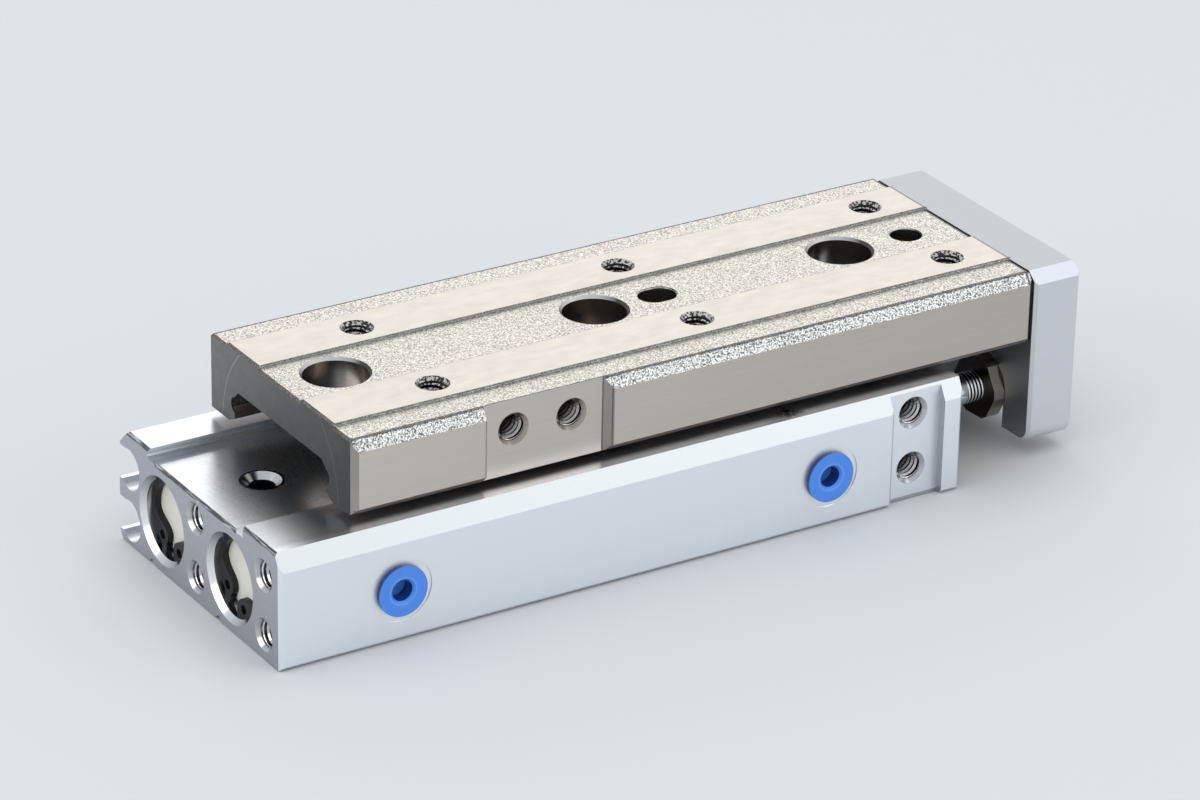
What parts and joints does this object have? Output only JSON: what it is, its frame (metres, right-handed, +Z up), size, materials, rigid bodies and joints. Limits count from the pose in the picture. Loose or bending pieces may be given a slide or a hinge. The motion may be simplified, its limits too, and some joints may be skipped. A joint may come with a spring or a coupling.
{
  "type": "pneumatic slide table",
  "caption": "Compact twin-rod air slide: grooved aluminium body with two piston bores, ball-guided steel table and an end plate that the rods push.",
  "frame": {"origin": "On the body's rear end face, on the plane midway between the two bores, at the body's underside. The table stands 10 mm open.", "axes": "+X is the table's outward stroke, Y runs across the body with +Y towards the switch grooves and -Y towards the air ports, +Z is up."},
  "size_m": [0.1151, 0.0405, 0.0259],
  "materials": {
    "body": "satin silver anodised",
    "end_plate": "satin silver anodised",
    "table": "treated steel, ground pads",
    "guide_block": "ground hardened steel",
    "guide_balls": "polished",
    "piston_rod_near": "polished",
    "piston_rod_far": "polished",
    "piston_near": "turned",
    "piston_far": "turned",
    "rod_cover_near": "turned",
    "rod_cover_far": "turned",
    "head_cap_near": "moulded, cream",
    "head_cap_far": "moulded, cream",
    "return_cover_rear": "moulded, dark",
    "return_cover_front": "moulded, dark",
    "end_seal_rear": "black rubber",
    "end_seal_front": "black rubber",
    "rod_seals": "black rubber",
    "piston_seals": "black rubber",
    "head_cap_orings": "black rubber",
    "rod_cover_orings": "black rubber",
    "rear_bumpers": "amber polyurethane",
    "rod_bumpers": "amber polyurethane",
    "retaining_rings": "black phosphate spring steel",
    "rod_cover_rings": "black phosphate spring steel",
    "guide_screws": "plated steel",
    "cover_screws": "plated steel",
    "plate_screws": "plated steel",
    "rod_end_washers": "plated steel",
    "rod_end_nuts": "plated steel",
    "float_bushing_near": "plated steel",
    "float_bushing_far": "plated steel",
    "rod_nut_near": "dark bronze",
    "rod_nut_far": "dark bronze",
    "piston_magnets": "bonded magnet",
    "port_plug_rear": "moulded, blue",
    "port_plug_front": "moulded, blue"
  },
  "bodies": {
    "base": {"body": "body", "head_cap_near": "head_cap_near", "head_cap_far": "head_cap_far", "head_cap_orings": "head_cap_orings", "retaining_rings": "retaining_rings", "rear_bumpers": "rear_bumpers", "rod_cover_near": "rod_cover_near", "rod_cover_far": "rod_cover_far", "rod_cover_orings": "rod_cover_orings", "rod_seals": "rod_seals", "rod_bumpers": "rod_bumpers", "rod_cover_rings": "rod_cover_rings", "guide_block": "guide_block", "guide_screws": "guide_screws", "return_cover_rear": "return_cover_rear", "return_cover_front": "return_cover_front", "end_seal_rear": "end_seal_rear", "end_seal_front": "end_seal_front", "cover_screws": "cover_screws", "guide_balls": "guide_balls"},
    "slide": {"table": "table", "end_plate": "end_plate", "plate_screws": "plate_screws", "piston_rod_near": "piston_rod_near", "piston_rod_far": "piston_rod_far", "piston_near": "piston_near", "piston_far": "piston_far", "piston_magnets": "piston_magnets", "piston_seals": "piston_seals", "rod_nut_near": "rod_nut_near", "rod_nut_far": "rod_nut_far", "float_bushing_near": "float_bushing_near", "float_bushing_far": "float_bushing_far", "rod_end_washers": "rod_end_washers", "rod_end_nuts": "rod_end_nuts"},
    "rear_plug": {"port_plug_rear": "port_plug_rear"},
    "front_plug": {"port_plug_front": "port_plug_front"}
  },
  "joints": [
    {"name": "table_slide", "type": "slide", "parent": "base", "child": "slide", "axis": [1, 0, 0], "range_m": [-0.01, 0.03]},
    {"name": "rear_plug_pull", "type": "slide", "parent": "base", "child": "rear_plug", "axis": [0, -1, 0], "range_m": [0, 0.025]},
    {"name": "front_plug_pull", "type": "slide", "parent": "base", "child": "front_plug", "axis": [0, -1, 0], "range_m": [0, 0.025]}
  ]
}
